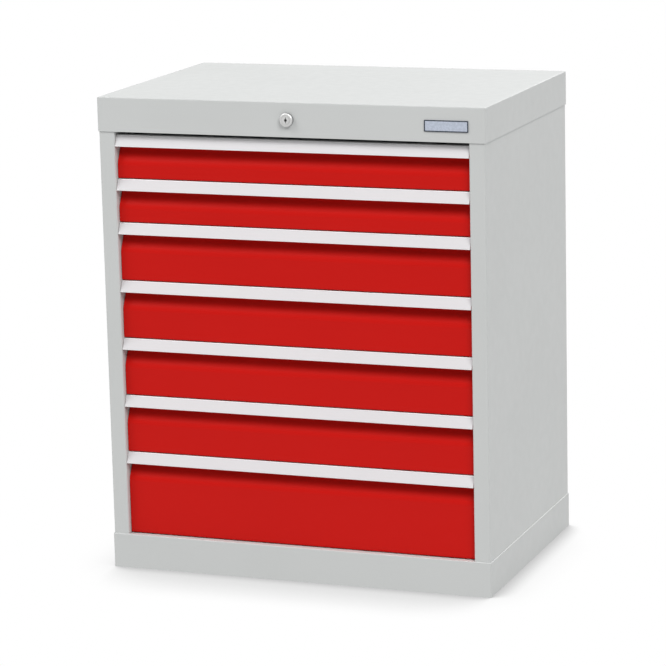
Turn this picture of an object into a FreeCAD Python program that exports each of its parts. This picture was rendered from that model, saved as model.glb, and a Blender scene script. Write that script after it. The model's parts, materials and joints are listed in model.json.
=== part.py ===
import FreeCAD, Part
import math
import os
from collections import namedtuple
from FreeCAD import Vector

# Seven-drawer steel cabinet with full-width grip rails and one central lock.
#
# Frame: millimetres, +Z up, X across the width, drawers open towards -Y. The origin
# is the centre of the case's footprint, on the floor. Distances called "depth" are
# measured backwards from the front plane of the cover and the plinth.

# ---------------------------------------------------------------- driving dimensions

CASE_WIDTH = 684.0
CASE_DEPTH = 466.0
CASE_HEIGHT = 819.0
APRON_HEIGHT = 58.0          # skirt of the top cover, which carries the lock
PLINTH_HEIGHT = 60.0
OPENING_WIDTH = 626.0        # between the two front stiles

CASE_SHEET = 1.3
LAP_CLEARANCE = 0.2          # between the cover's skirt and the body inside it
EDGE_RADIUS = 2.5            # outer radius of an upright case edge
RIM_RADIUS = 1.5             # outer radius round the cover's top and the plinth's top
FOLD_RADIUS = 1.0            # inside radius of an ordinary fold
APRON_RETURN = 22.0          # fold under the apron, towards the back
PLINTH_FLANGE = 30.0         # width of the flange that stands on the floor
STILE_RETURN = 36.0          # depth of the fold behind each stile
REAR_FLANGE = 20.0
SIDE_FLANGE = 21.0           # folds at the foot and the head of a side panel
SIDE_FLANGE_DEPTHS = (60.0, 440.0)

FRONT_PITCHES = [75.0, 75.0, 100.0, 100.0, 100.0, 100.0]
TOP_GAP = 6.3                # from the apron down to the first grip rail
FRONT_GAP = 1.2              # below every drawer front
SIDE_GAP = 1.0               # beside every drawer front

# Grip rail: a slanted label face whose lower edge is the pull
RAIL_TOP_DEPTH = 10.0
RAIL_LOW_DEPTH = 1.0
RAIL_HEIGHT = 19.0
RAIL_WALL = 2.0
RAIL_BACK_DEPTH = 26.0
RAIL_LEG = 14.0
PULL_LIP = 5.5               # width of the rail's lower edge, front to back
LABEL_LIP = 1.4
LABEL_GROOVE = 0.7
LABEL_SHEET = 0.5

# Folded drawer front: recessed behind the grip rail, then sloping forwards to the face
FRONT_SHEET = 1.0
RECESS_DEPTH = 24.0
FACE_DEPTH = 10.5
RECESS_CORNER = 22.0         # below the rail's top, where the recess starts to slope forwards
FACE_CORNER = 47.0           # below the rail's top, where the slope meets the face
RECESS_RADIUS = 20.0

# Drawer box
BOX_WIDTH = 600.0
BOX_LENGTH = 410.0
BOX_SHEET = 1.0
BOX_FLOOR_RISE = 7.8         # above the lower edge of its front
BOX_TOP_DROP = 12.0          # below the top of its grip rail
BOX_RIM = 6.0
BOX_RIM_LIP = 4.0
DIVIDER_PITCH = 50.0
DIVIDER_SLOT = 2.0

# Telescopic runners: case member, middle member and drawer member
RUNNER_LENGTH = 400.0
RUNNER_START = 30.0
RUNNER_SHEET = 1.2
RUNNER_RISE = 25.0           # of the runners' middle above the drawer box's floor
CASE_MEMBER_HEIGHT = 45.0
CASE_MEMBER_DEEP = 11.0
MIDDLE_MEMBER_HEIGHT = 36.0
MIDDLE_MEMBER_FROM = 2.4     # from the upright to the middle member's web
MIDDLE_MEMBER_TO = 11.4
DRAWER_MEMBER_HEIGHT = 28.0
DRAWER_MEMBER_FROM = 5.0

# Uprights that carry the runners
UPRIGHT_DEPTHS = (38.0, 396.0)
UPRIGHT_WIDTH = 30.0
UPRIGHT_SHEET = 1.5
PERFORATION_PITCH = 25.0
PERFORATION_WIDTH = 6.0
PERFORATION_HEIGHT = 10.0
CROSS_RAIL_DEPTHS = (80.0, 340.0)
CROSS_RAIL_WIDTH = 30.0
CROSS_RAIL_HEIGHT = 15.0

# Rear screws
SCREW_X = 330.0
SCREW_RADIUS = 2.5
SCREW_HEAD_RADIUS = 5.0
SCREW_HEAD = 1.4
SCREWS_PER_SIDE = 5
SCREW_MARGIN = 40.0          # from the first and last screw to plinth and cover

# Lock
LOCK_HEIGHT = CASE_HEIGHT - APRON_HEIGHT / 2
COLLAR_RADIUS = 11.5
COLLAR_BEVEL = 1.5
COLLAR_PROJECTION = 6.0
DISH_RADIUS = 8.5
DISH_DEPTH = 0.6
HOUSING_RADIUS = 9.5
HOUSING_END = 24.0
NUT_ACROSS = 24.0
NUT_THICKNESS = 4.0
PLUG_RADIUS = 6.5
PLUG_PROUD = 0.4             # of the collar
KEYWAY_WIDTH = 1.4
KEYWAY_HEIGHT = 9.6
KEYWAY_EYE_RADIUS = 1.7
KEYWAY_DEPTH = 12.0
SHAFT_CLEARANCE = 0.06

# Locking gear: the plug turns a long spindle, whose crank lifts a bar at the back
TANG = 5.0
TANG_LENGTH = 10.0
SLEEVE_RADIUS = 6.0
SLEEVE_LENGTH = 15.5
SPINDLE_RADIUS = 4.0
BEARING_DEPTHS = (58.0, 425.0)
BEARING_SHEET = 2.0
BEARING_HALF = 12.0
LOCK_LIFT = 10.0             # rise of the locking bar over a quarter turn
CRANK_DEPTH = 443.0
CRANK_THICKNESS = 3.0
CRANK_HUB_RADIUS = 7.0
CRANK_EYE_RADIUS = 5.5
PIN_RADIUS = 2.5
PIN_LENGTH = 6.0
PIN_PLAY = 0.6
BAR_DEPTH = 448.0
BAR_WIDTH = 20.0
BAR_SHEET = 1.5
BAR_RISE = 15.0              # of the bar's foot above the plinth
HOOK_WIDTH = 16.0
HOOK_REACH = 10.0            # behind the drawer box
HOOK_LIP = 10.0
HOOK_DROP = 6.0              # below the top of the drawer box
TONGUE_WIDTH = 12.0
TONGUE_GAP = 2.0             # under the hook's lip while unlocked
TONGUE_HEIGHT = 11.0
TONGUE_SETBACK = 4.0         # behind the drawer box
GUIDE_FEET = (80.0, 410.0, 762.0)
GUIDE_HEIGHT = 12.0
GUIDE_WING = 14.0
GUIDE_PLAY = 0.5

# Name plate
PLATE_WIDTH = 75.0
PLATE_LOW = 778.0
PLATE_HIGH = 797.0
PLATE_SHEET = 1.2
PLATE_RIM = 1.3
PLATE_RIM_PROUD = 0.4

PAST = 1.0                   # how far a cutting tool runs past what it cuts

# ---------------------------------------------------------------- derived positions

FRONT_Y = -CASE_DEPTH / 2
HALF_WIDTH = CASE_WIDTH / 2
HALF_OPENING = OPENING_WIDTH / 2
OPENING_TOP = CASE_HEIGHT - APRON_HEIGHT
PROUD = CASE_SHEET + LAP_CLEARANCE       # of cover and plinth, over the body
BODY_HALF = HALF_WIDTH - PROUD
BODY_FRONT = PROUD
BODY_REAR = CASE_DEPTH - PROUD
BODY_TOP = CASE_HEIGHT - PROUD
BODY_INNER = BODY_HALF - CASE_SHEET
PANEL_DEPTH = BODY_REAR - 2 * CASE_SHEET  # inner face of the back panel
FRONT_HALF = HALF_OPENING - SIDE_GAP
BOX_HALF = BOX_WIDTH / 2
BOX_START = RAIL_BACK_DEPTH
BOX_END = BOX_START + BOX_LENGTH
CRANK_RADIUS = LOCK_LIFT / (2 * math.sin(math.radians(45)))
PIN_OFFSET = CRANK_RADIUS * math.cos(math.radians(45))
BAR_CENTRE = -(CRANK_RADIUS + PIN_OFFSET) / 2

Drawer = namedtuple("Drawer", "number top bottom")


def drawer_layout():
    """Every drawer's number and the heights of its front's two edges."""
    drawers = []
    top = OPENING_TOP - TOP_GAP
    for number, pitch in enumerate(FRONT_PITCHES, start=1):
        drawers.append(Drawer(number, top, top - pitch + FRONT_GAP))
        top -= pitch
    drawers.append(Drawer(len(drawers) + 1, top, PLINTH_HEIGHT + FRONT_GAP))
    return drawers


# ---------------------------------------------------------------- shape helpers

def box(x0, x1, depth0, depth1, z0, z1):
    """Block between two x, two depths behind the front plane and two heights."""
    corner = Vector(x0, FRONT_Y + depth0, z0)
    return Part.makeBox(x1 - x0, depth1 - depth0, z1 - z0, corner)


def rod(x, z, radius, depth0, depth1):
    """Cylinder that runs from front to back."""
    base = Vector(x, FRONT_Y + depth0, z)
    return Part.makeCylinder(radius, depth1 - depth0, base, Vector(0, 1, 0))


def fuse(shapes):
    """One clean solid from shapes that touch or overlap."""
    first, *others = shapes
    return first.fuse(others).removeSplitter() if others else first


def mirrored(shape):
    """The same shape on the other side of the cabinet."""
    return shape.mirror(Vector(0, 0, 0), Vector(1, 0, 0))


def both_sides(shape):
    """A right-hand piece and its left-hand twin, kept as separate solids."""
    return Part.makeCompound([shape, mirrored(shape)])


def unit(vector):
    length = math.hypot(*vector)
    return (vector[0] / length, vector[1] / length)


def step(start, end):
    return (end[0] - start[0], end[1] - start[1])


def shifted(point, direction, distance):
    return (point[0] + direction[0] * distance, point[1] + direction[1] * distance)


def corner_cut(before, corner, after, radius):
    """Where a rounded corner starts, its middle, and where it ends."""
    if radius == 0:
        return corner, None, corner
    back = unit(step(corner, before))
    onward = unit(step(corner, after))
    half = math.acos(back[0] * onward[0] + back[1] * onward[1]) / 2
    reach = radius / math.tan(half)
    inward = unit((back[0] + onward[0], back[1] + onward[1]))
    middle = shifted(corner, inward, radius / math.sin(half) - radius)
    return shifted(corner, back, reach), middle, shifted(corner, onward, reach)


def rounded_face(points, radii, place):
    """Face inside a closed outline; place puts each of its points in space."""
    count = len(points)
    cuts = []
    for i in range(count):
        following = points[(i + 1) % count]
        cuts.append(corner_cut(points[i - 1], points[i], following, radii[i]))
    edges = []
    for i, (start, middle, end) in enumerate(cuts):
        if middle is not None:
            edges.append(Part.Arc(place(start), place(middle), place(end)).toShape())
        edges.append(Part.makeLine(place(end), place(cuts[(i + 1) % count][0])))
    return Part.Face(Part.Wire(edges))


def sheet_outline(path, thickness, bend):
    """Outline of a folded sheet that lies to the left of an open path.

    bend is the radius inside each fold, one value or one per fold.
    """
    folds = len(path) - 2
    bends = bend if isinstance(bend, list) else [bend] * folds
    steps = [unit(step(a, b)) for a, b in zip(path, path[1:])]
    lefts = [(-d[1], d[0]) for d in steps]
    near = [0.0]
    far = [0.0]
    other = [shifted(path[0], lefts[0], thickness)]
    for i in range(folds):
        before, after = lefts[i], lefts[i + 1]
        turn = steps[i][0] * steps[i + 1][1] - steps[i][1] * steps[i + 1][0]
        spread = 1 + before[0] * after[0] + before[1] * after[1]
        mitre = (before[0] + after[0], before[1] + after[1])
        other.append(shifted(path[i + 1], mitre, thickness / spread))
        near.append(bends[i] + thickness if turn > 0 else bends[i])
        far.append(bends[i] if turn > 0 else bends[i] + thickness)
    other.append(shifted(path[-1], lefts[-1], thickness))
    near.append(0.0)
    far.append(0.0)
    return path + other[::-1], near + far[::-1]


def run_along_x(points, radii, x0, x1):
    """Section given as (depth, height) points, run across the cabinet."""
    face = rounded_face(points, radii, lambda p: Vector(x0, FRONT_Y + p[0], p[1]))
    return face.extrude(Vector(x1 - x0, 0, 0))


def run_along_y(points, radii, depth0, depth1):
    """Section given as (x, height) points, run from front to back."""
    face = rounded_face(points, radii, lambda p: Vector(p[0], FRONT_Y + depth0, p[1]))
    return face.extrude(Vector(0, depth1 - depth0, 0))


def run_along_z(points, radii, z0, z1):
    """Section given as (x, depth) points, run upwards."""
    face = rounded_face(points, radii, lambda p: Vector(p[0], FRONT_Y + p[1], z0))
    return face.extrude(Vector(0, 0, z1 - z0))


# ---------------------------------------------------------------- case

def is_level(edge, height):
    """Whether an edge lies wholly at one height."""
    return all(abs(vertex.Z - height) < 0.01 for vertex in edge.Vertexes)


def upside_down_tray(low, high):
    """Folded tray over the whole footprint, closed at the top, with rounded edges."""
    outer = box(-HALF_WIDTH, HALF_WIDTH, 0, CASE_DEPTH, low, high)
    level = [edge for edge in outer.Edges if is_level(edge, low) or is_level(edge, high)]
    upright = [edge for edge in outer.Edges if not any(edge.isSame(e) for e in level)]
    outer = outer.makeFillet(EDGE_RADIUS, upright)
    outer = outer.makeFillet(RIM_RADIUS, [edge for edge in outer.Edges if is_level(edge, high)])
    inner_half = HALF_WIDTH - CASE_SHEET
    inner = box(-inner_half, inner_half, CASE_SHEET, CASE_DEPTH - CASE_SHEET,
                low - PAST, high - CASE_SHEET)
    return outer.cut(inner)


def top_cover():
    """Tray turned upside down; its front skirt is the apron that holds the lock."""
    cover = upside_down_tray(OPENING_TOP, CASE_HEIGHT)
    fold = box(-FRONT_HALF, FRONT_HALF, CASE_SHEET / 2, APRON_RETURN,
               OPENING_TOP, OPENING_TOP + CASE_SHEET)
    lock_hole = rod(0, LOCK_HEIGHT, HOUSING_RADIUS + SHAFT_CLEARANCE, -PAST, CASE_SHEET + PAST)
    return fuse([cover, fold]).cut(lock_hole)


def base_plinth():
    """Tray turned upside down under the body, with a flange all round on the floor."""
    plinth = upside_down_tray(0, PLINTH_HEIGHT)
    inner_half = HALF_WIDTH - CASE_SHEET
    ring = box(-inner_half, inner_half, CASE_SHEET, CASE_DEPTH - CASE_SHEET, 0, CASE_SHEET)
    opening = box(-HALF_WIDTH + PLINTH_FLANGE, HALF_WIDTH - PLINTH_FLANGE,
                  PLINTH_FLANGE, CASE_DEPTH - PLINTH_FLANGE, -PAST, CASE_SHEET + PAST)
    return fuse([plinth, ring.cut(opening)])


def right_side_panel():
    """Outer wall folded into the front stile, its return, and the rear flange."""
    path = [(HALF_OPENING, STILE_RETURN), (HALF_OPENING, BODY_FRONT), (BODY_HALF, BODY_FRONT),
            (BODY_HALF, BODY_REAR), (BODY_HALF - REAR_FLANGE, BODY_REAR)]
    points, radii = sheet_outline(path, CASE_SHEET, FOLD_RADIUS)
    wall = run_along_z(points, radii, PLINTH_HEIGHT, BODY_TOP)
    flange = [BODY_INNER - SIDE_FLANGE, BODY_INNER, *SIDE_FLANGE_DEPTHS]
    foot = box(*flange, PLINTH_HEIGHT, PLINTH_HEIGHT + CASE_SHEET)
    head = box(*flange, BODY_TOP - CASE_SHEET, BODY_TOP)
    return fuse([wall, foot, head]).cut(screw_holes())


def back_panel():
    """Flat rear wall inside the side panels' rear flanges."""
    half = BODY_INNER - SIDE_GAP
    panel = box(-half, half, PANEL_DEPTH, PANEL_DEPTH + CASE_SHEET,
                PLINTH_HEIGHT, BODY_TOP - SIDE_GAP)
    return panel.cut(screw_holes())


def screw_heights():
    """Heights of the rear screws, the same on both flanges."""
    first = PLINTH_HEIGHT + SCREW_MARGIN
    last = OPENING_TOP - SCREW_MARGIN
    gap = (last - first) / (SCREWS_PER_SIDE - 1)
    return [first + i * gap for i in range(SCREWS_PER_SIDE)]


def screw_holes():
    """Clearance holes for the rear screws, on both sides."""
    radius = SCREW_RADIUS + SHAFT_CLEARANCE
    holes = []
    for z in screw_heights():
        holes.append(rod(SCREW_X, z, radius, PANEL_DEPTH - PAST, BODY_REAR + PAST))
    return both_sides(Part.makeCompound(holes))


def case_screws():
    """Low-head cross-recessed screws that hold the back panel, one solid each."""
    screws = []
    arm = 3.0
    slit = 0.5
    recess = (BODY_REAR + SCREW_HEAD / 2, BODY_REAR + SCREW_HEAD + PAST)
    for z in screw_heights():
        head = rod(SCREW_X, z, SCREW_HEAD_RADIUS, BODY_REAR, BODY_REAR + SCREW_HEAD)
        shank = rod(SCREW_X, z, SCREW_RADIUS, PANEL_DEPTH - 2 * SCREW_RADIUS, BODY_REAR)
        upright = box(SCREW_X - slit, SCREW_X + slit, *recess, z - arm, z + arm)
        level = box(SCREW_X - arm, SCREW_X + arm, *recess, z - slit, z + slit)
        screws.append(fuse([head, shank]).cut([upright, level]))
    return both_sides(Part.makeCompound(screws))


def slide_uprights():
    """Perforated channels behind the stiles and near the back."""
    channels = []
    z0 = PLINTH_HEIGHT + CASE_SHEET
    z1 = BODY_TOP - CASE_SHEET
    for depth in UPRIGHT_DEPTHS:
        far = depth + UPRIGHT_WIDTH
        path = [(BODY_INNER, far), (HALF_OPENING, far),
                (HALF_OPENING, depth), (BODY_INNER, depth)]
        points, radii = sheet_outline(path, UPRIGHT_SHEET, FOLD_RADIUS)
        channel = run_along_z(points, radii, z0, z1)
        slot_depth = depth + (UPRIGHT_WIDTH - PERFORATION_WIDTH) / 2
        slots = []
        for i in range(int((z1 - z0) / PERFORATION_PITCH)):
            slot_z = z0 + (i + 0.5) * PERFORATION_PITCH
            slots.append(box(HALF_OPENING - PAST, HALF_OPENING + UPRIGHT_SHEET + PAST,
                             slot_depth, slot_depth + PERFORATION_WIDTH,
                             slot_z, slot_z + PERFORATION_HEIGHT))
        channels.append(channel.cut(slots))
    return both_sides(Part.makeCompound(channels))


def cross_rails():
    """Two channels under the cover that tie the side panels together."""
    z1 = BODY_TOP - CASE_SHEET
    z0 = z1 - CROSS_RAIL_HEIGHT
    rails = []
    for depth in CROSS_RAIL_DEPTHS:
        far = depth + CROSS_RAIL_WIDTH
        path = [(far, z0), (far, z1), (depth, z1), (depth, z0)]
        points, radii = sheet_outline(path, UPRIGHT_SHEET, FOLD_RADIUS)
        rails.append(run_along_x(points, radii, -BODY_INNER, BODY_INNER))
    return Part.makeCompound(rails)


# ---------------------------------------------------------------- runners

def runner_member(drawer, path):
    """One channel of a right-hand runner.

    The first number of each point in the path grows from the upright towards the
    drawer, and the second is the height over the runner's middle line.
    """
    points, radii = sheet_outline(path, RUNNER_SHEET, FOLD_RADIUS)
    centre = box_floor(drawer) + RUNNER_RISE
    placed = [(HALF_OPENING - across, centre + rise) for across, rise in points]
    return run_along_y(placed, radii, RUNNER_START, RUNNER_START + RUNNER_LENGTH)


def case_rail(drawer):
    """Fixed outer member, open towards the drawer."""
    half = CASE_MEMBER_HEIGHT / 2
    path = [(CASE_MEMBER_DEEP, half), (0.0, half), (0.0, -half), (CASE_MEMBER_DEEP, -half)]
    return runner_member(drawer, path)


def middle_rails(drawer):
    """Middle members of one drawer's two runners."""
    half = MIDDLE_MEMBER_HEIGHT / 2
    near, far = MIDDLE_MEMBER_FROM, MIDDLE_MEMBER_TO
    path = [(far, half), (near, half), (near, -half), (far, -half)]
    return both_sides(runner_member(drawer, path))


def drawer_rails(drawer):
    """Inner members, fastened to the two walls of the drawer box."""
    half = DRAWER_MEMBER_HEIGHT / 2
    near, far = DRAWER_MEMBER_FROM, HALF_OPENING - BOX_HALF
    path = [(near, -half), (far, -half), (far, half), (near, half)]
    return both_sides(runner_member(drawer, path))


# ---------------------------------------------------------------- drawers

def box_floor(drawer):
    return drawer.bottom + BOX_FLOOR_RISE


def catch_height(drawer):
    """Top of the hook on the drawer's rear wall."""
    return drawer.top - BOX_TOP_DROP - HOOK_DROP


def drawer_box(drawer):
    """Folded tray with turned-in rims, slotted end walls and a hook for the lock."""
    low = box_floor(drawer)
    high = drawer.top - BOX_TOP_DROP
    rim = BOX_HALF - BOX_RIM
    lip = high - BOX_RIM_LIP
    path = [(-rim, lip), (-rim, high), (-BOX_HALF, high), (-BOX_HALF, low),
            (BOX_HALF, low), (BOX_HALF, high), (rim, high), (rim, lip)]
    points, radii = sheet_outline(path, BOX_SHEET, FOLD_RADIUS / 2)
    trough = run_along_y(points, radii, BOX_START, BOX_END)
    ends = [end_wall(BOX_START, low, high), end_wall(BOX_END - BOX_SHEET, low, high)]
    return fuse([trough] + ends + [catch_hook(drawer)])


def end_wall(depth, low, high):
    """Front or rear wall of a drawer box, with slots for dividers."""
    inner = BOX_HALF - BOX_SHEET / 2
    top = high - BOX_RIM_LIP
    margin = 7.0
    wall = box(-inner, inner, depth, depth + BOX_SHEET, low + BOX_SHEET / 2, top)
    slots = []
    count = int(BOX_WIDTH / DIVIDER_PITCH) - 1
    for i in range(count):
        x = (i - (count - 1) / 2) * DIVIDER_PITCH - DIVIDER_SLOT / 2
        slots.append(box(x, x + DIVIDER_SLOT, depth - PAST, depth + BOX_SHEET + PAST,
                         low + margin, top - margin))
    return wall.cut(slots)


def catch_hook(drawer):
    """Bracket behind the rear wall; the locking bar's tongue rises inside its lip."""
    top = catch_height(drawer)
    far = BOX_END + HOOK_REACH
    across = (BAR_CENTRE - HOOK_WIDTH / 2, BAR_CENTRE + HOOK_WIDTH / 2)
    arm = box(*across, BOX_END - BOX_SHEET / 2, far, top - BAR_SHEET, top)
    lip = box(*across, far - BAR_SHEET, far, top - HOOK_LIP, top)
    return fuse([arm, lip])


def drawer_front(drawer):
    """Folded sheet front: upright recess, slope forwards, flat face and closed ends."""
    top = drawer.top - RAIL_WALL
    low = drawer.bottom
    path = [(RECESS_DEPTH, top), (RECESS_DEPTH, drawer.top - RECESS_CORNER),
            (FACE_DEPTH, drawer.top - FACE_CORNER), (FACE_DEPTH, low), (BOX_START, low)]
    bends = [RECESS_RADIUS, RECESS_RADIUS - FRONT_SHEET, FOLD_RADIUS]
    points, radii = sheet_outline(path, FRONT_SHEET, bends)
    skin = run_along_x(points, radii, -FRONT_HALF, FRONT_HALF)
    cheek = path + [(BOX_START, top)]
    rounds = [0, RECESS_RADIUS, RECESS_RADIUS, FOLD_RADIUS + FRONT_SHEET, 0, 0]
    right_cheek = run_along_x(cheek, rounds, FRONT_HALF - FRONT_SHEET, FRONT_HALF)
    return fuse([skin, right_cheek, mirrored(right_cheek)])


def slant_points(drawer):
    """Upper and lower edge of the grip rail's slanted face, as (depth, height)."""
    upper = (RAIL_TOP_DEPTH, drawer.top)
    lower = (RAIL_LOW_DEPTH, drawer.top - RAIL_HEIGHT)
    return upper, lower


def grip_rail(drawer):
    """Extruded rail: slanted face with a label groove, pull edge and fixing leg."""
    upper, lower = slant_points(drawer)
    down = unit(step(upper, lower))
    inward = (-down[1], down[0])
    groove_top = shifted(upper, down, LABEL_LIP)
    groove_low = shifted(lower, down, -LABEL_LIP)
    wall = RAIL_WALL / inward[0]
    slope = (upper[0] - lower[0]) / (upper[1] - lower[1])
    lip_top = lower[1] + RAIL_WALL
    under = drawer.top - RAIL_WALL
    leg = drawer.top - RAIL_LEG
    back = RAIL_BACK_DEPTH
    points = [
        (back, drawer.top), upper,
        groove_top, shifted(groove_top, inward, LABEL_GROOVE),
        shifted(groove_low, inward, LABEL_GROOVE), groove_low,
        lower, (lower[0] + PULL_LIP, lower[1]), (lower[0] + PULL_LIP, lip_top),
        (lower[0] + wall + slope * RAIL_WALL, lip_top),
        (upper[0] + wall - slope * RAIL_WALL, under),
        (RECESS_DEPTH - RAIL_WALL, under), (RECESS_DEPTH - RAIL_WALL, leg),
        (RECESS_DEPTH, leg), (RECESS_DEPTH, under), (back, under),
    ]
    # one small radius for each point, in the same order; the groove's edges stay sharp
    radii = [0, 0.6, 0, 0, 0, 0, 0.7, 0.8, 0.8, 0.5, 1.0, 1.0, 0.5, 0.5, 0, 0]
    return run_along_x(points, radii, -FRONT_HALF, FRONT_HALF)


def label_strip(drawer):
    """Label under its clear cover, lying in the grip rail's groove."""
    upper, lower = slant_points(drawer)
    down = unit(step(upper, lower))
    inward = (-down[1], down[0])
    play = 0.1
    top = shifted(shifted(upper, down, LABEL_LIP + play), inward, LABEL_GROOVE)
    low = shifted(shifted(lower, down, -LABEL_LIP - play), inward, LABEL_GROOVE)
    points = [top, low, shifted(low, inward, -LABEL_SHEET), shifted(top, inward, -LABEL_SHEET)]
    return run_along_x(points, [0, 0, 0, 0], -FRONT_HALF, FRONT_HALF)


# ---------------------------------------------------------------- lock and badge

def lock_housing():
    """Threaded barrel through the apron with a bevelled collar in front."""
    front = -COLLAR_PROJECTION
    collar = rod(0, LOCK_HEIGHT, COLLAR_RADIUS, front + COLLAR_BEVEL, 0)
    nose = Part.makeCone(COLLAR_RADIUS - COLLAR_BEVEL, COLLAR_RADIUS, COLLAR_BEVEL,
                         Vector(0, FRONT_Y + front, LOCK_HEIGHT), Vector(0, 1, 0))
    barrel = rod(0, LOCK_HEIGHT, HOUSING_RADIUS, 0, HOUSING_END)
    bore = rod(0, LOCK_HEIGHT, PLUG_RADIUS + SHAFT_CLEARANCE, front - PAST, HOUSING_END + PAST)
    dish = rod(0, LOCK_HEIGHT, DISH_RADIUS, front - PAST, front + DISH_DEPTH)
    return fuse([nose, collar, barrel]).cut([bore, dish])


def lock_nut():
    """Hexagon nut that clamps the lock behind the apron."""
    corner = NUT_ACROSS / math.sqrt(3)
    points = []
    for i in range(6):
        angle = math.radians(60 * i)
        points.append((corner * math.cos(angle), LOCK_HEIGHT + corner * math.sin(angle)))
    nut = run_along_y(points, [0] * 6, CASE_SHEET, CASE_SHEET + NUT_THICKNESS)
    return nut.cut(rod(0, LOCK_HEIGHT, HOUSING_RADIUS + SHAFT_CLEARANCE, 0, HOUSING_END))


def lock_plug():
    """Turning core with an upright keyway and a square tang at its inner end."""
    face = -COLLAR_PROJECTION - PLUG_PROUD
    core = rod(0, LOCK_HEIGHT, PLUG_RADIUS, face, HOUSING_END)
    tang = square_bar(TANG, HOUSING_END, HOUSING_END + TANG_LENGTH)
    slot = box(-KEYWAY_WIDTH / 2, KEYWAY_WIDTH / 2, face - PAST, face + KEYWAY_DEPTH,
               LOCK_HEIGHT - KEYWAY_HEIGHT / 2, LOCK_HEIGHT + KEYWAY_HEIGHT / 2)
    eye = rod(0, LOCK_HEIGHT, KEYWAY_EYE_RADIUS, face - PAST, face + KEYWAY_DEPTH)
    return fuse([core, tang]).cut([slot, eye])


def square_bar(side, depth0, depth1):
    """Square bar on the lock's axis."""
    half = side / 2
    return box(-half, half, depth0, depth1, LOCK_HEIGHT - half, LOCK_HEIGHT + half)


def lock_spindle():
    """Long shaft from the plug to the rear, with a crank and its pin."""
    start = HOUSING_END + PIN_PLAY
    sleeve_end = start + SLEEVE_LENGTH
    sleeve = rod(0, LOCK_HEIGHT, SLEEVE_RADIUS, start, sleeve_end)
    socket = square_bar(TANG + 2 * SHAFT_CLEARANCE, HOUSING_END, start + TANG_LENGTH)
    shaft = rod(0, LOCK_HEIGHT, SPINDLE_RADIUS, sleeve_end, CRANK_DEPTH)
    crank_end = CRANK_DEPTH + CRANK_THICKNESS
    pin_z = LOCK_HEIGHT - PIN_OFFSET
    hub = rod(0, LOCK_HEIGHT, CRANK_HUB_RADIUS, CRANK_DEPTH, crank_end)
    eye = rod(-PIN_OFFSET, pin_z, CRANK_EYE_RADIUS, CRANK_DEPTH, crank_end)
    pin = rod(-PIN_OFFSET, pin_z, PIN_RADIUS, crank_end, crank_end + PIN_LENGTH)
    return fuse([sleeve.cut(socket), shaft, hub, eye, pin])


def spindle_bearings():
    """Two bearing plates that hang from the cover."""
    top = CASE_HEIGHT - CASE_SHEET
    half = BEARING_HALF
    brackets = []
    for depth in BEARING_DEPTHS:
        far = depth + BEARING_SHEET
        plate = box(-half, half, depth, far, LOCK_HEIGHT - half, top)
        foot = box(-half, half, depth, depth + half, top - BEARING_SHEET, top)
        bore = rod(0, LOCK_HEIGHT, SPINDLE_RADIUS + SHAFT_CLEARANCE, depth - PAST, far + PAST)
        brackets.append(fuse([plate, foot]).cut(bore))
    return Part.makeCompound(brackets)


def locking_bar(drawers):
    """Channel that slides up and down behind the drawers, with a tongue for each."""
    half = BAR_WIDTH / 2
    rear = PANEL_DEPTH - GUIDE_PLAY
    path = [(BAR_CENTRE - half, rear), (BAR_CENTRE - half, BAR_DEPTH),
            (BAR_CENTRE + half, BAR_DEPTH), (BAR_CENTRE + half, rear)]
    points, radii = sheet_outline(path, BAR_SHEET, FOLD_RADIUS)
    channel = run_along_z(points, radii, PLINTH_HEIGHT + BAR_RISE, LOCK_HEIGHT + PIN_OFFSET)
    reach = PIN_RADIUS + PIN_PLAY
    pin_z = LOCK_HEIGHT - PIN_OFFSET
    slot = box(-CRANK_RADIUS - reach, -PIN_OFFSET + reach,
               BAR_DEPTH - PAST, BAR_DEPTH + BAR_SHEET + PAST, pin_z - reach, pin_z + reach)
    tongues = [tongue(catch_height(drawer)) for drawer in drawers]
    return fuse([channel.cut(slot)] + tongues)


def tongue(catch_top):
    """Shelf and upright that rise inside a drawer's hook by the lock's lift."""
    across = (BAR_CENTRE - TONGUE_WIDTH / 2, BAR_CENTRE + TONGUE_WIDTH / 2)
    tip = catch_top - HOOK_LIP - TONGUE_GAP
    foot = tip - TONGUE_HEIGHT
    front = BOX_END + TONGUE_SETBACK
    shelf = box(*across, front, BAR_DEPTH + BAR_SHEET / 2, foot, foot + BAR_SHEET)
    finger = box(*across, front, front + BAR_SHEET, foot, tip)
    return fuse([shelf, finger])


def bar_guides():
    """Three hat-shaped guides on the back panel, round the locking bar."""
    half = BAR_WIDTH / 2 + GUIDE_PLAY
    front = BAR_DEPTH - GUIDE_PLAY
    left, right = BAR_CENTRE - half, BAR_CENTRE + half
    path = [(right + GUIDE_WING, PANEL_DEPTH), (right, PANEL_DEPTH), (right, front),
            (left, front), (left, PANEL_DEPTH), (left - GUIDE_WING, PANEL_DEPTH)]
    points, radii = sheet_outline(path, BAR_SHEET, FOLD_RADIUS)
    return Part.makeCompound([run_along_z(points, radii, z, z + GUIDE_HEIGHT) for z in GUIDE_FEET])


def name_plate():
    """Bare plate with a raised rim, at the apron's right-hand end."""
    left, right = HALF_OPENING - PLATE_WIDTH, HALF_OPENING
    plate = box(left, right, -PLATE_SHEET, 0, PLATE_LOW, PLATE_HIGH)
    corners = [e for e in plate.Edges if abs(e.Vertexes[0].Y - e.Vertexes[1].Y) > PLATE_SHEET / 2]
    plate = plate.makeFillet(FOLD_RADIUS, corners)
    field = box(left + PLATE_RIM, right - PLATE_RIM,
                -PLATE_SHEET - PAST, PLATE_RIM_PROUD - PLATE_SHEET,
                PLATE_LOW + PLATE_RIM, PLATE_HIGH - PLATE_RIM)
    return plate.cut(field)


# ---------------------------------------------------------------- output

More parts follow.
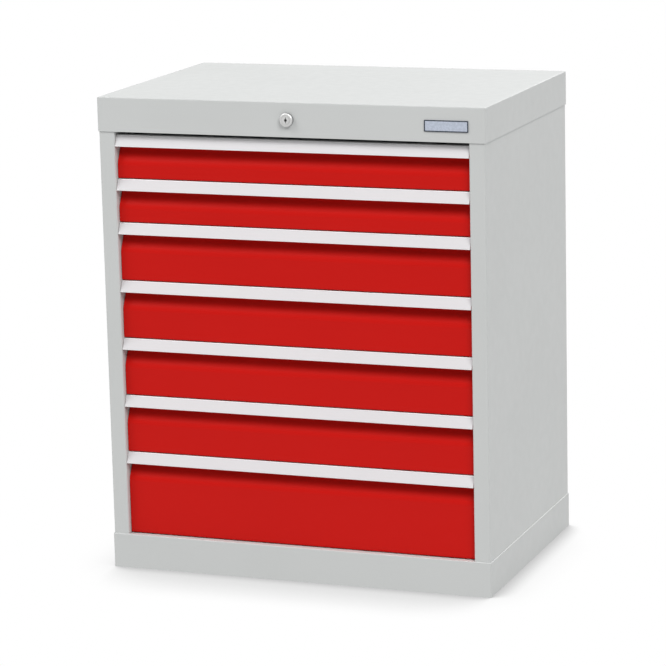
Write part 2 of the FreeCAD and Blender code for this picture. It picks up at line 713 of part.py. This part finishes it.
def sub_parts():
    """Every sub-part's name and shape."""
    drawers = drawer_layout()
    side = right_side_panel()
    rails = [case_rail(drawer) for drawer in drawers]
    parts = {
        "top_cover": top_cover(),
        "right_side_panel": side,
        "left_side_panel": mirrored(side),
        "back_panel": back_panel(),
        "base_plinth": base_plinth(),
        "slide_uprights": slide_uprights(),
        "cross_rails": cross_rails(),
        "right_case_rails": Part.makeCompound(rails),
        "left_case_rails": mirrored(Part.makeCompound(rails)),
        "case_screws": case_screws(),
        "name_plate": name_plate(),
        "lock_housing": lock_housing(),
        "lock_nut": lock_nut(),
        "lock_plug": lock_plug(),
        "lock_spindle": lock_spindle(),
        "spindle_bearings": spindle_bearings(),
        "locking_bar": locking_bar(drawers),
        "bar_guides": bar_guides(),
    }
    for drawer in drawers:
        name = f"drawer_{drawer.number}"
        parts[f"{name}_box"] = drawer_box(drawer)
        parts[f"{name}_front"] = drawer_front(drawer)
        parts[f"{name}_grip_rail"] = grip_rail(drawer)
        parts[f"{name}_label_strip"] = label_strip(drawer)
        parts[f"{name}_rails"] = drawer_rails(drawer)
        parts[f"middle_rails_{drawer.number}"] = middle_rails(drawer)
    return parts


os.makedirs("parts", exist_ok=True)
for node, shape in sub_parts().items():
    shape.exportStep(os.path.join("parts", node + ".step"))
    print(f"{node}: {len(shape.Solids)} solid(s), {shape.Volume / 1000:.1f} cm3")
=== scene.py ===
import json
import math

import bmesh
import bpy
from mathutils import Matrix, Vector


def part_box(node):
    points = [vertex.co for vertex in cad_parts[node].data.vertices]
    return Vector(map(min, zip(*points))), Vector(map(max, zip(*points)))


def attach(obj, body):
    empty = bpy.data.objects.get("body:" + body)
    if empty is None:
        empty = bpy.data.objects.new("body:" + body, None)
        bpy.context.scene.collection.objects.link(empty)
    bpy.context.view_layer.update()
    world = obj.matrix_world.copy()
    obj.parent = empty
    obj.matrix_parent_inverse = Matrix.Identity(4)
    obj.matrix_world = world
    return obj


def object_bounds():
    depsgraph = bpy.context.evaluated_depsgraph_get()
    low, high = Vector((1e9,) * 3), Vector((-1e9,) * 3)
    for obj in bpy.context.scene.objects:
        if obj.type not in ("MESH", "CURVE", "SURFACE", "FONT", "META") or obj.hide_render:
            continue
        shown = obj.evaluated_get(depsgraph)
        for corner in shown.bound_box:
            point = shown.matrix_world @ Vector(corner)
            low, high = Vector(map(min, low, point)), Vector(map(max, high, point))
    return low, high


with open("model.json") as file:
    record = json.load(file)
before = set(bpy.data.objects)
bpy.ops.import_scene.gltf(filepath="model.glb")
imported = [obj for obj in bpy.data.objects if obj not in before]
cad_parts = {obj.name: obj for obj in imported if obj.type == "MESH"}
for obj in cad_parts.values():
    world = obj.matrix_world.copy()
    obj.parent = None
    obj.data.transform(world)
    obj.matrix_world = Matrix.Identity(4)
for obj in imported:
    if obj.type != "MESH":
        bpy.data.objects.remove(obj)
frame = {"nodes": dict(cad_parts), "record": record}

# Seven-drawer steel cabinet: finishes, small fittings, light and camera.
#
# Metres, +Z up, drawers open towards -Y. Lengths are written in millimetres times MM, and
# every fitting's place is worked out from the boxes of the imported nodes.

MM = 0.001
CAD_LOW, CAD_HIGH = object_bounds()
LOCK_LOW, LOCK_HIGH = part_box("lock_housing")
LOCK_CENTRE = (LOCK_LOW + LOCK_HIGH) / 2
DRAWERS = range(1, 8)
SIDES = (-1, 1)
X_AXIS, Y_AXIS = 0, 1

# ---------------------------------------------------------------- camera and light

CAMERA_PLACE = (1.83846, -4.93748, 1.51508)
CAMERA_DEGREES = (77.87328, 1.31148, 20.29580)     # about X, Y and Z
CAMERA_LENS = 167.4527
CAMERA_SENSOR = 36.0

AMBIENT = 0.05               # strength of the white surroundings as a light on matt surfaces
FLOOR_LIGHT = 0.86           # and of the white floor, which glows as painted bounce light
SOFTBOX_SIZE = 9.0
SOFTBOX_DISTANCE = 18.0
# degrees round from the front and up, and the light on a surface that faces the lamp
SOFTBOXES = {"right_softbox": {"around": 45.0, "up": 44.0, "level": 0.758},
             "left_softbox": {"around": -62.0, "up": 43.0, "level": 0.613},
             "rear_softbox": {"around": 170.0, "up": 35.0, "level": 0.52}}
FLOOR_SIZE = 60.0
# The floor's two painted shadows. Openness is the share that is free within reach, looking one way;
# as it grows over "fade", the floor goes from "tone" to full white.
CLOSE_SHADOW = {"reach": 60 * MM, "looks": (-0.196, 0.0, 0.981),
                "fade": (0.376, 0.73), "tone": 0.611}
WIDE_SHADOW = {"reach": 200 * MM, "looks": (0.0, 0.707, 0.707),
               "fade": (0.37, 0.76), "tone": 0.755}
SHADOW_SAMPLES = 16
WHITE = (1.0, 1.0, 1.0, 1.0)

# ---------------------------------------------------------------- colours, linear

CASE_GREY = (0.548, 0.560, 0.554)
FRONT_RED = (0.541, 0.006, 0.0035)
RAIL_SILVER = (0.73, 0.725, 0.73)
LABEL_WHITE = (0.644, 0.632, 0.644)
ZINC = (0.60, 0.61, 0.62)
GALVANISED = (0.52, 0.53, 0.54)
BRIGHT_ZINC = (0.68, 0.69, 0.71)
NICKEL = (0.55, 0.55, 0.545)
BADGE_RIM = (0.03, 0.04, 0.06)
BADGE_FIELD = (0.45, 0.495, 0.585)
# painted shade: grey of the band that stands for the shade on the lock collar's side wall
BAND_SHADE_GREY = (0.16, 0.165, 0.17)
# partly the wafers' own metal, darkened as painted shade inside the keyway
WAFER_SHADE_GREY = (0.10, 0.10, 0.095)
# painted shade: black of the disc that stands for the dark hole of the keyhole's eye
EYE_SHADE_BLACK = (0.012, 0.011, 0.010)

# ---------------------------------------------------------------- grain of the finishes

# Each finish has its textures in cells to a metre, the factors of its colour where it is
# darkest and lightest, its least and most roughness, or how far that swings either way, and
# the depth of its bumps. "along" is a texture's scale along its streaks, against 1 across.
PAINT = {"peel": 650.0, "flow": 55.0, "cloud": 5.0,
         "tones": (0.985, 1.012), "roughness": (0.40, 0.50), "depth": 0.03 * MM}
DRAWN = {"streaks": 1400.0, "along": 0.02, "cloud": 14.0,
         "tones": (0.95, 1.03), "swing": 0.06, "depth": 0.01 * MM}
DIPPED = {"flakes": 110.0, "grain": 700.0,
          "tones": (0.86, 1.12), "roughness": (0.38, 0.48), "depth": 0.01 * MM}
TURNED = {"rings": 500.0, "wobble": 0.4, "smear": 180.0,
          "tones": (0.93, 1.04), "swing": 0.05, "depth": 0.006 * MM}
CARD = {"fibres": 900.0, "along": 0.3, "cloud": 12.0, "gloss": 0.4,
        "tones": (0.985, 1.01), "roughness": (0.30, 0.40), "depth": 0.05 * MM}
ENAMEL = {"mottle": 260.0,
          "tones": (0.95, 1.04), "roughness": (0.22, 0.32), "depth": 0.01 * MM}
TEXTURE_MIDDLE = (0.3, 0.7)           # most of a noise's values lie between these

# ---------------------------------------------------------------- small fittings

BALL_PITCH = 20 * MM
CAGE_LENGTH = 200 * MM
CAGE_SHEET = 0.5 * MM
# distances from the upright's face of the cage's web, edge and row of balls, then the row's
# height over the runner's middle and the radius of a ball
OUTER_CAGE = {"web": 1.55 * MM, "edge": 9.5 * MM, "row": 7.0 * MM,
              "height": 19.65 * MM, "ball": 1.6 * MM}
INNER_CAGE = {"web": 3.9 * MM, "edge": 10.8 * MM, "row": 8.2 * MM,
              "height": 15.4 * MM, "ball": 1.35 * MM}
RIVET_RADIUS = 3.4 * MM
RIVET_DOME = 1.4 * MM
RIVET_PLACES = (0.08, 0.5, 0.92)      # along the drawer member
BOX_SHEET = 1.0 * MM
SCREW_RADIUS = 3.8 * MM
SCREW_DOME = 2.0 * MM
SCREW_PLACES = (-225 * MM, -75 * MM, 75 * MM, 225 * MM)
# width of the badge's dark rim left bare round the field: partly its own dark rim, widened as
# painted shade along the plate's edge
PLATE_RIM = 1.8 * MM
PLATE_FLOOR = 0.4 * MM                # of the plate's field, behind its rim
FIELD_THICKNESS = 0.2 * MM
BAND_SHEET = 0.12 * MM
BAND_LENGTH = 4.3 * MM
WAFER_SIZE = (1.3 * MM, 1.8 * MM, 9.3 * MM)
WAFER_DROP = 1.3 * MM                 # behind the plug's face
EYE_RADIUS = 2.4 * MM
EYE_PROUD = 0.05 * MM                 # before the plug's face
EYE_DEPTH = 0.5 * MM


# ---------------------------------------------------------------- node trees

class Finish:
    """A new material, its node tree and its shader."""

    def __init__(self, name):
        self.material = bpy.data.materials.new(name)
        self.material.use_nodes = True
        self.tree = self.material.node_tree
        self.shader = self.tree.nodes["Principled BSDF"]

    def add(self, kind, inputs=None, **settings):
        """New node; an input is given a value or another node's output."""
        node = self.tree.nodes.new(kind)
        for key, value in settings.items():
            setattr(node, key, value)
        self.feed(node, inputs or {})
        return node

    def feed(self, node, inputs):
        for key, value in inputs.items():
            if isinstance(value, bpy.types.NodeSocket):
                self.tree.links.new(value, node.inputs[key])
            else:
                node.inputs[key].default_value = value

    def place(self, scale=(1, 1, 1), location=(0, 0, 0)):
        """The piece's own coordinates in metres, scaled and moved."""
        own = self.add("ShaderNodeTexCoord")
        mapping = self.add("ShaderNodeMapping", {"Vector": own.outputs["Object"],
                                                 "Scale": scale, "Location": location})
        return mapping.outputs["Vector"]

    def noise(self, cells, scale=(1, 1, 1), detail=2.0):
        node = self.add("ShaderNodeTexNoise",
                        {"Vector": self.place(scale), "Scale": cells, "Detail": detail})
        return node.outputs["Fac"]

    def spread(self, texture, low=0.0, high=1.0):
        """A texture's middle range, stretched to low and high."""
        least, most = TEXTURE_MIDDLE
        node = self.add("ShaderNodeMapRange", {"Value": texture, "From Min": least, "From Max": most,
                                               "To Min": low, "To Max": high})
        return node.outputs["Result"]

    def tint(self, texture, color, tones):
        """The colour, between its darker and its lighter tone by a texture."""
        dark, light = ((*(channel * tone for channel in color), 1.0) for tone in tones)
        # By number, since the node's colour sockets share their names with its other sockets.
        factor, first, second, result = 0, 6, 7, 2
        node = self.add("ShaderNodeMix", {factor: texture, first: dark, second: light},
                        data_type="RGBA")
        return node.outputs[result]

    def bump(self, height, depth):
        node = self.add("ShaderNodeBump", {"Height": height, "Distance": depth})
        return node.outputs["Normal"]


def powder_coat(name, color, gloss):
    """Stoved paint: fine orange peel, and a little unevenness in tone and gloss."""
    finish = Finish(name)
    peel = finish.noise(PAINT["peel"], detail=3.0)
    flow = finish.noise(PAINT["flow"])
    cloud = finish.noise(PAINT["cloud"])
    finish.feed(finish.shader, {
        "Base Color": finish.tint(finish.spread(cloud), color, PAINT["tones"]),
        "Roughness": finish.spread(flow, *PAINT["roughness"]),
        "Specular IOR Level": gloss,
        "Normal": finish.bump(peel, PAINT["depth"])})
    return finish.material


def drawn_metal(name, color, rough, axis, metallic=1.0):
    """Metal with fine streaks along one axis, from drawing or brushing."""
    finish = Finish(name)
    scale = [1.0, 1.0, 1.0]
    scale[axis] = DRAWN["along"]
    streaks = finish.noise(DRAWN["streaks"], scale, detail=4.0)
    cloud = finish.noise(DRAWN["cloud"])
    finish.feed(finish.shader, {
        "Base Color": finish.tint(finish.spread(cloud), color, DRAWN["tones"]),
        "Metallic": metallic,
        "Roughness": finish.spread(streaks, rough - DRAWN["swing"], rough + DRAWN["swing"]),
        "Normal": finish.bump(streaks, DRAWN["depth"])})
    return finish.material


def galvanised_steel():
    """Hot-dip zinc with its crystal pattern."""
    finish = Finish("galvanised_steel")
    cells = finish.add("ShaderNodeTexVoronoi",
                       {"Vector": finish.place(), "Scale": DIPPED["flakes"]})
    split = finish.add("ShaderNodeSeparateColor", {"Color": cells.outputs["Color"]})
    flake = split.outputs["Red"]
    grain = finish.noise(DIPPED["grain"])
    finish.feed(finish.shader, {
        "Base Color": finish.tint(flake, GALVANISED, DIPPED["tones"]),
        "Metallic": 1.0,
        "Roughness": finish.spread(flake, *DIPPED["roughness"]),
        "Normal": finish.bump(grain, DIPPED["depth"])})
    return finish.material


def turned_metal(name, color, centre, rough):
    """Satin metal with the fine rings that a lathe leaves round an axis along Y."""
    finish = Finish(name)
    place = finish.place(location=tuple(-value for value in centre))
    wave = finish.add("ShaderNodeTexWave", {"Vector": place, "Scale": TURNED["rings"],
                                            "Distortion": TURNED["wobble"], "Detail": 2.0},
                      wave_type="RINGS", rings_direction="Y")
    rings = wave.outputs["Fac"]
    smear = finish.noise(TURNED["smear"])
    finish.feed(finish.shader, {
        "Base Color": finish.tint(finish.spread(smear), color, TURNED["tones"]),
        "Metallic": 1.0,
        "Roughness": finish.spread(rings, rough - TURNED["swing"], rough + TURNED["swing"]),
        "Normal": finish.bump(rings, TURNED["depth"])})
    return finish.material


def label_card():
    """Blank card behind a thin clear cover."""
    finish = Finish("label_card")
    fibres = finish.noise(CARD["fibres"], (CARD["along"], 1.0, 1.0), detail=4.0)
    cloud = finish.noise(CARD["cloud"])
    finish.feed(finish.shader, {
        "Base Color": finish.tint(finish.spread(fibres), LABEL_WHITE, CARD["tones"]),
        "Roughness": finish.spread(cloud, *CARD["roughness"]),
        "Specular IOR Level": CARD["gloss"],
        "Normal": finish.bump(cloud, CARD["depth"])})
    return finish.material


def enamel(name, color):
    """Glossy stoved enamel, faintly mottled."""
    finish = Finish(name)
    mottle = finish.noise(ENAMEL["mottle"], detail=3.0)
    finish.feed(finish.shader, {
        "Base Color": finish.tint(finish.spread(mottle), color, ENAMEL["tones"]),
        "Roughness": finish.spread(mottle, *ENAMEL["roughness"]),
        "Normal": finish.bump(mottle, ENAMEL["depth"])})
    return finish.material


MATERIALS = {
    "case_paint": powder_coat("case_paint", CASE_GREY, gloss=0.4),
    "front_paint": powder_coat("front_paint", FRONT_RED, gloss=0.12),
    "drawer_paint": powder_coat("drawer_paint", CASE_GREY, gloss=0.4),
    "grip_rail": drawn_metal("grip_rail", RAIL_SILVER, rough=0.42, axis=X_AXIS, metallic=0.25),
    "label": label_card(),
    "runner_steel": drawn_metal("runner_steel", ZINC, rough=0.34, axis=Y_AXIS),
    "galvanised_steel": galvanised_steel(),
    "zinc_screw": turned_metal("zinc_screw", BRIGHT_ZINC, centre=(0, 0, 0), rough=0.30),
    "lock_nickel": turned_metal("lock_nickel", NICKEL, centre=LOCK_CENTRE, rough=0.55),
    # painted shade on the lock collar's side wall
    "lock_band_painted_shade": enamel("lock_band_painted_shade", BAND_SHADE_GREY),
    # wafers darkened as painted shade inside the keyway
    "lock_wafers_painted_shade": enamel("lock_wafers_painted_shade", WAFER_SHADE_GREY),
    # painted shade of the keyhole's eye
    "lock_eye_painted_shade": enamel("lock_eye_painted_shade", EYE_SHADE_BLACK),
    "badge": enamel("badge_rim", BADGE_RIM),
    "badge_field": enamel("badge_field", BADGE_FIELD),
}


def dress_frame():
    """Gives every CAD node the finish that its record slot names."""
    slots = {part["node"]: part["material_slot"] for part in frame["record"]["subparts"]}
    for name, node in frame["nodes"].items():
        for holder in node.material_slots:
            holder.material = MATERIALS[slots[name]]


# ---------------------------------------------------------------- mesh helpers

def add_piece(mesh, name, body, slot, material=None):
    """Object made from a bmesh, on its body and with its finish."""
    bmesh.ops.recalc_face_normals(mesh, faces=mesh.faces)
    data = bpy.data.meshes.new(name)
    mesh.to_mesh(data)
    mesh.free()
    piece = bpy.data.objects.new(name, data)
    bpy.context.scene.collection.objects.link(piece)
    data.materials.append(MATERIALS[material or slot])
    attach(piece, body)


def add_block(mesh, low, high):
    """Closed block between two corners."""
    size = [b - a for a, b in zip(low, high)]
    centre = [(a + b) / 2 for a, b in zip(low, high)]
    matrix = Matrix.Translation(centre) @ Matrix.Diagonal((*size, 1.0))
    bmesh.ops.create_cube(mesh, size=1.0, matrix=matrix)


def circle(segments):
    """Cosine and sine at even steps once round."""
    turns = [2 * math.pi * i / segments for i in range(segments)]
    return [(math.cos(turn), math.sin(turn)) for turn in turns]


def join_loops(mesh, first, second, smooth=True):
    """Faces between two closed loops with as many points each."""
    for i in range(len(first)):
        j = (i + 1) % len(first)
        mesh.faces.new((first[i], first[j], second[j], second[i])).smooth = smooth


def add_dome(mesh, place, axis, radius, height, rings=4, segments=20):
    """Closed domed head whose flat side stands at place and whose top points along axis."""
    place = Vector(place)
    turn = Vector((0, 0, 1)).rotation_difference(Vector(axis)).to_matrix()
    loops = []
    for ring in range(rings):
        angle = math.pi / 2 * ring / rings
        reach, rise = radius * math.cos(angle), height * math.sin(angle)
        points = [Vector((reach * cosine, reach * sine, rise)) for cosine, sine in circle(segments)]
        loops.append([mesh.verts.new(place + turn @ point) for point in points])
    top = mesh.verts.new(place + turn @ Vector((0, 0, height)))
    for low, high in zip(loops, loops[1:]):
        join_loops(mesh, low, high)
    for i in range(segments):
        mesh.faces.new((loops[-1][i], loops[-1][(i + 1) % segments], top)).smooth = True
    mesh.faces.new(reversed(loops[0]))


def add_ring(mesh, place, inner, outer, length, segments=64):
    """Closed ring round an axis along Y, reaching back from place."""
    loops = []
    for radius, y in ((inner, 0), (outer, 0), (outer, length), (inner, length)):
        points = [Vector((radius * cosine, y, radius * sine)) for cosine, sine in circle(segments)]
        loops.append([mesh.verts.new(place + point) for point in points])
    for first, second in zip(loops, loops[1:] + loops[:1]):
        join_loops(mesh, first, second)


# ---------------------------------------------------------------- runners

def add_cage(mesh, side, upright, middle, start, sizes):
    """Channel-shaped cage and its two rows of balls, on one side of one drawer."""
    def across(distance):
        return side * (upright - distance)

    web, edge, height = sizes["web"], sizes["edge"], sizes["height"]
    half = height + CAGE_SHEET / 2
    outline = [(edge, half), (web, half), (web, -half), (edge, -half),
               (edge, -half + CAGE_SHEET), (web + CAGE_SHEET, -half + CAGE_SHEET),
               (web + CAGE_SHEET, half - CAGE_SHEET), (edge, half - CAGE_SHEET)]
    near, far = ([mesh.verts.new((across(a), y, middle + b)) for a, b in outline]
                 for y in (start, start + CAGE_LENGTH))
    join_loops(mesh, near, far, smooth=False)
    mesh.faces.new(near)
    mesh.faces.new(far)
    for i in range(int(CAGE_LENGTH / BALL_PITCH)):
        y = start + (i + 0.5) * BALL_PITCH
        for level in (-height, height):
            centre = Matrix.Translation((across(sizes["row"]), y, middle + level))
            made = bmesh.ops.create_icosphere(mesh, subdivisions=2, radius=sizes["ball"],
                                              matrix=centre)
            for vertex in made["verts"]:
                for face in vertex.link_faces:
                    face.smooth = True


def ball_cages(number):
    """Both cages of both runners of one drawer."""
    low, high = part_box(f"drawer_{number}_rails")
    middle = (low.z + high.z) / 2
    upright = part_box("right_case_rails")[1].x
    mesh = bmesh.new()
    for side in SIDES:
        add_cage(mesh, side, upright, middle, high.y - CAGE_LENGTH, OUTER_CAGE)
        add_cage(mesh, side, upright, middle, low.y, INNER_CAGE)
    add_piece(mesh, f"ball_cages_{number}", f"middle_rails_{number}", "runner_steel")


def runner_rivets(number):
    """Rivet heads inside the drawer, where its runner members are fastened."""
    low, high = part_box(f"drawer_{number}_rails")
    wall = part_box(f"drawer_{number}_box")[1].x - BOX_SHEET
    mesh = bmesh.new()
    for side in SIDES:
        for share in RIVET_PLACES:
            place = (side * wall, low.y + share * (high.y - low.y), (low.z + high.z) / 2)
            add_dome(mesh, place, (-side, 0, 0), RIVET_RADIUS, RIVET_DOME)
    add_piece(mesh, f"runner_rivets_{number}", f"drawer_{number}", "runner_steel")


def front_screws(number):
    """Screw heads inside the drawer that hold its front."""
    low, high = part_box(f"drawer_{number}_box")
    mesh = bmesh.new()
    for x in SCREW_PLACES:
        place = (x, low.y + BOX_SHEET, (low.z + high.z) / 2)
        add_dome(mesh, place, (0, 1, 0), SCREW_RADIUS, SCREW_DOME)
    add_piece(mesh, f"front_screws_{number}", f"drawer_{number}", "zinc_screw")


# ---------------------------------------------------------------- lock

def lock_band_painted_shade():
    """Dark band round the lock's collar, close to the apron: painted shade on the collar's side
    wall.
    """
    radius = (LOCK_HIGH.x - LOCK_LOW.x) / 2
    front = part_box("top_cover")[0].y
    place = Vector((LOCK_CENTRE.x, front - BAND_LENGTH, LOCK_CENTRE.z))
    mesh = bmesh.new()
    add_ring(mesh, place, radius, radius + BAND_SHEET, BAND_LENGTH)
    add_piece(mesh, "lock_band_painted_shade", "case", "lock_nickel", "lock_band_painted_shade")


def lock_wafers_painted_shade():
    """Wafers that show in the plug's keyway, coloured dark grey as painted shade inside the keyway.
    """
    width, depth, height = WAFER_SIZE
    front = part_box("lock_plug")[0].y + WAFER_DROP
    x, z = LOCK_CENTRE.x, LOCK_CENTRE.z
    mesh = bmesh.new()
    add_block(mesh, (x - width / 2, front, z - height / 2),
              (x + width / 2, front + depth, z + height / 2))
    add_piece(mesh, "lock_wafers_painted_shade", "lock", "lock_nickel", "lock_wafers_painted_shade")


def lock_eye_painted_shade():
    """Black disc in the middle of the keyway, its front just before the plug's face: painted shade
    of the keyhole's eye.
    """
    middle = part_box("lock_plug")[0].y - EYE_PROUD + EYE_DEPTH / 2
    lying = Matrix.Rotation(math.pi / 2, 4, "X")
    centre = Matrix.Translation((LOCK_CENTRE.x, middle, LOCK_CENTRE.z))
    mesh = bmesh.new()
    bmesh.ops.create_cone(mesh, cap_ends=True, segments=32, radius1=EYE_RADIUS,
                          radius2=EYE_RADIUS, depth=EYE_DEPTH, matrix=centre @ lying)
    add_piece(mesh, "lock_eye_painted_shade", "lock", "lock_nickel", "lock_eye_painted_shade")


# ---------------------------------------------------------------- name plate

def plate_field():
    """Bare enamelled field inside the name plate's rim."""
    low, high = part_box("name_plate")
    back = low.y + PLATE_FLOOR
    mesh = bmesh.new()
    add_block(mesh, (low.x + PLATE_RIM, back - FIELD_THICKNESS, low.z + PLATE_RIM),
              (high.x - PLATE_RIM, back, high.z - PLATE_RIM))
    add_piece(mesh, "name_plate_field", "case", "badge", "badge_field")


# ---------------------------------------------------------------- studio

def clean_rays(tree):
    """1 for rays that should see plain white: camera, glossy and transmission rays."""
    path = tree.nodes.new("ShaderNodeLightPath")
    total = path.outputs["Is Camera Ray"]
    for name in ("Is Glossy Ray", "Is Transmission Ray"):
        highest = tree.nodes.new("ShaderNodeMath")
        highest.operation = "MAXIMUM"
        tree.links.new(total, highest.inputs[0])
        tree.links.new(path.outputs[name], highest.inputs[1])
        total = highest.outputs[0]
    return total


def surroundings():
    """White world, dimmer as a light than it looks."""
    world = bpy.data.worlds.new("surroundings")
    bpy.context.scene.world = world
    world.use_nodes = True
    tree = world.node_tree
    background = tree.nodes["Background"]
    background.inputs["Color"].default_value = WHITE
    strength = tree.nodes.new("ShaderNodeMapRange")
    strength.inputs["To Min"].default_value = AMBIENT
    strength.inputs["To Max"].default_value = 1.0
    tree.links.new(clean_rays(tree), strength.inputs["Value"])
    tree.links.new(strength.outputs["Result"], background.inputs["Strength"])


def contact_shadow(finish, reach, looks, fade, tone):
    """Tone of the floor: full in the open, darker where the object stands within reach."""
    toward = finish.add("ShaderNodeCombineXYZ", dict(zip("XYZ", looks)))
    openness = finish.add("ShaderNodeAmbientOcclusion",
                          {"Distance": reach, "Normal": toward.outputs["Vector"]},
                          samples=SHADOW_SAMPLES)
    ramp = finish.add("ShaderNodeMapRange", {"Value": openness.outputs["AO"],
                                             "From Min": fade[0], "From Max": fade[1],
                                             "To Min": tone, "To Max": 1.0})
    return ramp.outputs["Result"]


def floor_material():
    """White floor, darker to the eye where the object stands close over it, a painted shadow; on
    matt surfaces it glows at FLOOR_LIGHT as painted bounce light.
    """
    finish = Finish("floor")
    tone = finish.add("ShaderNodeMath", {0: contact_shadow(finish, **CLOSE_SHADOW),
                                         1: contact_shadow(finish, **WIDE_SHADOW)},
                      operation="MULTIPLY")
    strength = finish.add("ShaderNodeMapRange", {"Value": clean_rays(finish.tree),
                                                 "To Min": FLOOR_LIGHT,
                                                 "To Max": tone.outputs["Value"]})
    glow = finish.add("ShaderNodeEmission", {"Color": WHITE,
                                             "Strength": strength.outputs["Result"]})
    finish.feed(finish.tree.nodes["Material Output"], {"Surface": glow.outputs["Emission"]})
    finish.tree.nodes.remove(finish.shader)
    finish.material.cycles.emission_sampling = "NONE"
    return finish.material


def studio_floor():
    half, z = FLOOR_SIZE / 2, CAD_LOW.z
    corners = [(-half, -half, z), (half, -half, z), (half, half, z), (-half, half, z)]
    data = bpy.data.meshes.new("studio_floor")
    data.from_pydata(corners, [], [(0, 1, 2, 3)])
    floor = bpy.data.objects.new("studio_floor", data)
    bpy.context.scene.collection.objects.link(floor)
    data.materials.append(floor_material())


def softbox(name, around, up, level):
    """Square lamp aimed at the object's middle, which it lights to the level given."""
    turn, rise = math.radians(around), math.radians(up)
    way = Vector((math.sin(turn) * math.cos(rise), -math.cos(turn) * math.cos(rise),
                  math.sin(rise)))
    lamp = bpy.data.lights.new(name, "AREA")
    lamp.shape = "SQUARE"
    lamp.size = SOFTBOX_SIZE
    lamp.energy = level * (math.pi * SOFTBOX_DISTANCE) ** 2
    holder = bpy.data.objects.new(name, lamp)
    holder.location = (CAD_LOW + CAD_HIGH) / 2 + way * SOFTBOX_DISTANCE
    holder.rotation_euler = way.to_track_quat("Z", "Y").to_euler()
    holder.visible_camera = False
    bpy.context.scene.collection.objects.link(holder)


def camera():
    data = bpy.data.cameras.new("camera")
    data.lens = CAMERA_LENS
    data.sensor_width = CAMERA_SENSOR
    holder = bpy.data.objects.new("camera", data)
    holder.location = CAMERA_PLACE
    holder.rotation_euler = [math.radians(angle) for angle in CAMERA_DEGREES]
    bpy.context.scene.collection.objects.link(holder)
    bpy.context.scene.camera = holder


dress_frame()
for drawer in DRAWERS:
    ball_cages(drawer)
    runner_rivets(drawer)
    front_screws(drawer)
lock_band_painted_shade()
lock_wafers_painted_shade()
lock_eye_painted_shade()
plate_field()
surroundings()
studio_floor()
for name, lamp in SOFTBOXES.items():
    softbox(name, **lamp)
camera()
bpy.context.scene.view_settings.view_transform = "Standard"
